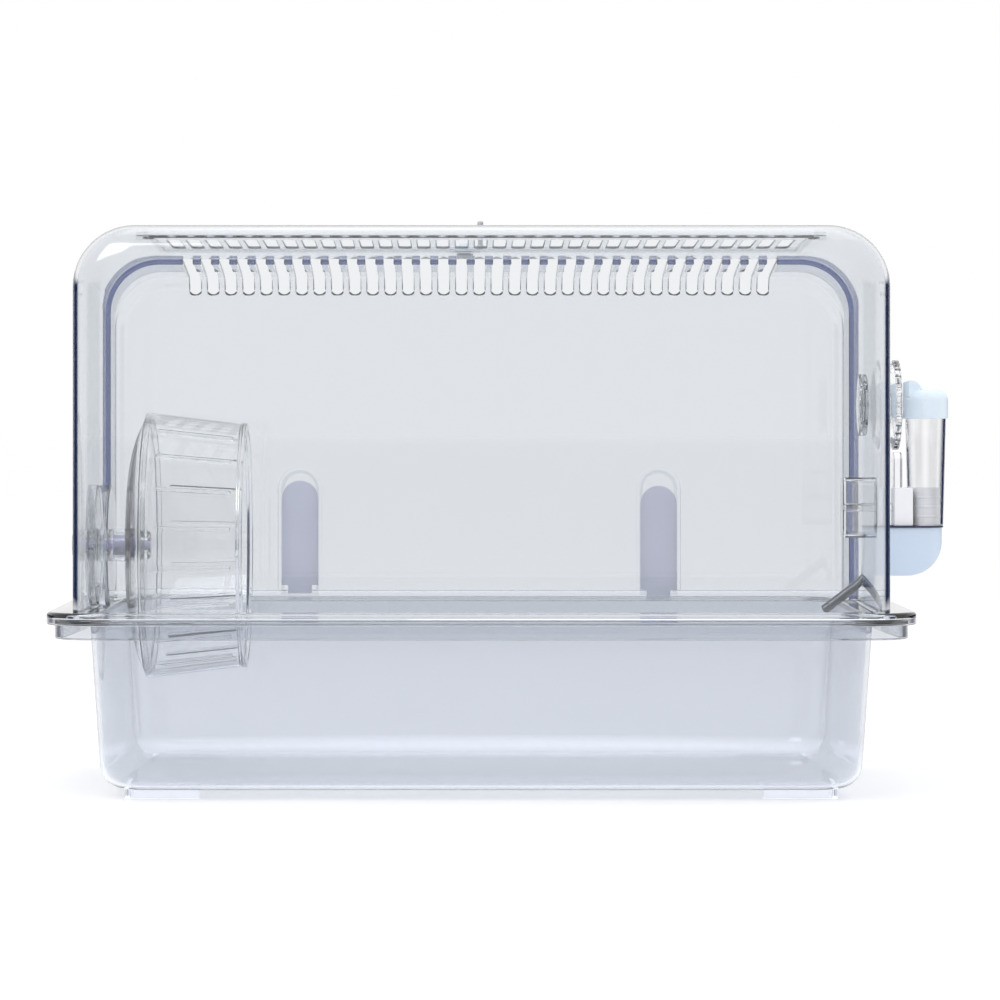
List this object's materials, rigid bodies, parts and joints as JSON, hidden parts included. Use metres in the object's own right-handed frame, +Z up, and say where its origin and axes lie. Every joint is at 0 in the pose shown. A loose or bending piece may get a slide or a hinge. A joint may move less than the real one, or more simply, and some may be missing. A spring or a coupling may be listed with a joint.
{
  "type": "pet keeper",
  "caption": "Clear plastic small-pet keeper: deep tray, lift-off cover with slotted roof and hatch, slide clips, running wheel and side water bottle.",
  "frame": {"origin": "on the table under the middle of the tray, in the plane of the feet", "axes": "+X to the water bottle side, +Y to the slotted front wall with the slide clips, +Z up; the plain wall on the -Y side is the back"},
  "size_m": [0.5103, 0.328, 0.3244],
  "materials": {
    "tray_clear_plastic": "clear moulded plastic, glossy, faint blue tint",
    "cover_clear_plastic": "clear moulded plastic, glossy, faint blue tint",
    "wheel_clear_plastic": "clear moulded plastic, glossy",
    "fitting_clear_plastic": "clear moulded plastic, glossy",
    "bottle_clear_plastic": "clear moulded plastic, glossy",
    "ice_blue_plastic": "opaque pale blue moulded plastic, satin",
    "white_translucent_plastic": "milky translucent moulded plastic",
    "grey_plastic": "grey moulded plastic",
    "violet_plastic": "tinted translucent plastic",
    "dark_rubber": "dark blue sealing rubber",
    "stainless_steel": "polished stainless steel"
  },
  "bodies": {
    "tray": {"base_tray": "tray_clear_plastic"},
    "cover": {"dome_cover": "cover_clear_plastic", "wheel_mount_disc": "fitting_clear_plastic", "wheel_axle": "violet_plastic", "wheel_end_cap": "fitting_clear_plastic", "hanger_hub": "fitting_clear_plastic", "bottle_base": "ice_blue_plastic", "base_gasket": "dark_rubber", "base_collar": "white_translucent_plastic", "bottle_cradle": "white_translucent_plastic", "back_plate": "fitting_clear_plastic", "nozzle_tube": "stainless_steel", "inner_clamp": "fitting_clear_plastic"},
    "hatch": {"roof_hatch": "cover_clear_plastic", "hatch_knob": "grey_plastic"},
    "latch": {"latch_bar": "ice_blue_plastic", "latch_tongue": "grey_plastic"},
    "clip_left": {"clip_left": "white_translucent_plastic"},
    "clip_right": {"clip_right": "white_translucent_plastic"},
    "wheel": {"wheel_drum": "wheel_clear_plastic", "wheel_back": "wheel_clear_plastic", "wheel_bearing": "white_translucent_plastic"},
    "wheel_nut": {"wheel_nut": "fitting_clear_plastic"},
    "hanger_ring": {"hanger_ring": "fitting_clear_plastic"},
    "twist": {"twist_disc": "fitting_clear_plastic"},
    "bottle": {"bottle_body": "bottle_clear_plastic"},
    "cap": {"bottle_cap": "ice_blue_plastic"},
    "ball": {"nozzle_ball": "stainless_steel"}
  },
  "joints": [
    {"name": "cover_lift", "type": "slide", "parent": "tray", "child": "cover", "axis": [0, 0, 1], "range_m": [0, 0.12]},
    {"name": "hatch_hinge", "type": "hinge", "parent": "cover", "child": "hatch", "pos_m": [0, -0.1, 0.31456], "axis": [1, 0, 0], "range_deg": [0, 110]},
    {"name": "latch_slide", "type": "slide", "parent": "cover", "child": "latch", "axis": [0, -0.9972, 0.0753], "range_m": [0, 0.006]},
    {"name": "clip_left_slide", "type": "slide", "parent": "cover", "child": "clip_left", "axis": [0, 0, 1], "range_m": [-0.0031, 0.0063]},
    {"name": "clip_right_slide", "type": "slide", "parent": "cover", "child": "clip_right", "axis": [0, 0, 1], "range_m": [0, 0.0094]},
    {"name": "wheel_spin", "type": "hinge", "parent": "cover", "child": "wheel", "pos_m": [-0.2, 0, 0.1367], "axis": [1, 0, 0], "continuous": true},
    {"name": "wheel_nut_turn", "type": "hinge", "parent": "cover", "child": "wheel_nut", "pos_m": [-0.23, 0, 0.1367], "axis": [1, 0, 0], "continuous": true},
    {"name": "hanger_ring_turn", "type": "hinge", "parent": "cover", "child": "hanger_ring", "pos_m": [0.221, 0, 0.2179], "axis": [1, 0, 0], "continuous": true},
    {"name": "twist_disc_turn", "type": "hinge", "parent": "cover", "child": "twist", "pos_m": [0.236, 0, 0.2179], "axis": [1, 0, 0], "range_deg": [0, 90]},
    {"name": "bottle_lift", "type": "slide", "parent": "cover", "child": "bottle", "axis": [0, 0, 1], "range_m": [0, 0.03]},
    {"name": "cap_lift", "type": "slide", "parent": "bottle", "child": "cap", "axis": [0, 0, 1], "range_m": [0, 0.012]},
    {"name": "ball_push", "type": "slide", "parent": "cover", "child": "ball", "axis": [0.7986, 0, 0.6018], "range_m": [0, 0.0015]}
  ]
}
